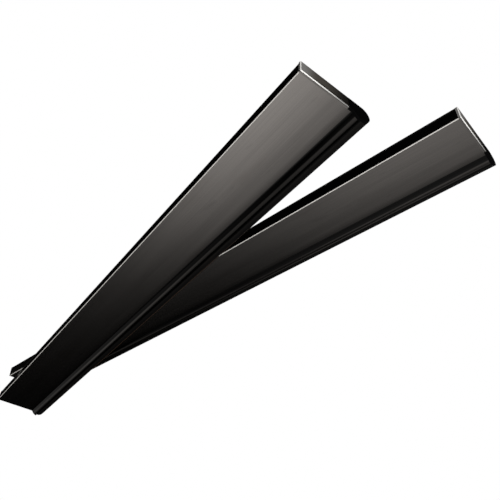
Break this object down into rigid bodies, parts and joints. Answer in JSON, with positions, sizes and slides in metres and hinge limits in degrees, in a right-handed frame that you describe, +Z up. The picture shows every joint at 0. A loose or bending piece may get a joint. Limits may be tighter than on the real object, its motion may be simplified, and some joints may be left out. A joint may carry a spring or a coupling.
{
  "type": "snap clamp rails",
  "caption": "Snap-open clamp rails in black anodised aluminium, each a flat hinged leaf with a rounded bead along its long edge, laid crossed.",
  "frame": {"origin": "centre of the footprint of the whole pair, on the surface it lies on", "axes": "+X along the pair, midway between the directions of the two rails, from the open ends to the crossing; +Z up, away from the surface"},
  "size_m": [0.4946, 0.1302, 0.0274],
  "materials": {
    "black_anodised_aluminium": "black anodised over a fine lengthwise brushing, satin",
    "bare_aluminium": "bare, finely brushed, with polished edges",
    "black_rubber": "matt extruded rubber",
    "spring_steel": "rolled spring strip",
    "black_plastic": "moulded, fine matt"
  },
  "bodies": {
    "lower_back": {"lower_back_profile": "black_anodised_aluminium", "lower_back_grip_strip": "black_rubber", "lower_spring_clip_1": "spring_steel", "lower_spring_clip_2": "spring_steel", "lower_spring_clip_3": "spring_steel", "lower_spring_clip_4": "spring_steel", "lower_bead_cap_near": "black_plastic", "lower_bead_cap_far": "black_plastic"},
    "lower_leaf": {"lower_front_leaf": "black_anodised_aluminium", "lower_leaf_grip_strip": "black_rubber", "lower_leaf_end_plate_near": "bare_aluminium", "lower_leaf_end_plate_far": "bare_aluminium"},
    "upper_back": {"upper_back_profile": "black_anodised_aluminium", "upper_back_grip_strip": "black_rubber", "upper_spring_clip_1": "spring_steel", "upper_spring_clip_2": "spring_steel", "upper_spring_clip_3": "spring_steel", "upper_spring_clip_4": "spring_steel", "upper_bead_cap_near": "black_plastic", "upper_bead_cap_far": "black_plastic"},
    "upper_leaf": {"upper_front_leaf": "black_anodised_aluminium", "upper_leaf_grip_strip": "black_rubber", "upper_leaf_end_plate_near": "bare_aluminium", "upper_leaf_end_plate_far": "bare_aluminium"}
  },
  "joints": [
    {"name": "lower_leaf_hinge", "type": "hinge", "parent": "lower_back", "child": "lower_leaf", "pos_m": [-0.24166, 0.05941, 0.0056], "axis": [-0.9951, 0.0985, 0], "range_deg": [0, 60]},
    {"name": "upper_rail_lift", "type": "slide", "parent": "lower_leaf", "child": "upper_back", "axis": [0, 0, 1], "range_m": [0, 0.1]},
    {"name": "upper_leaf_hinge", "type": "hinge", "parent": "upper_back", "child": "upper_leaf", "pos_m": [-0.21315, -0.02341, 0.0106], "axis": [-0.995, -0.0972, -0.0222], "range_deg": [0, 60]}
  ]
}
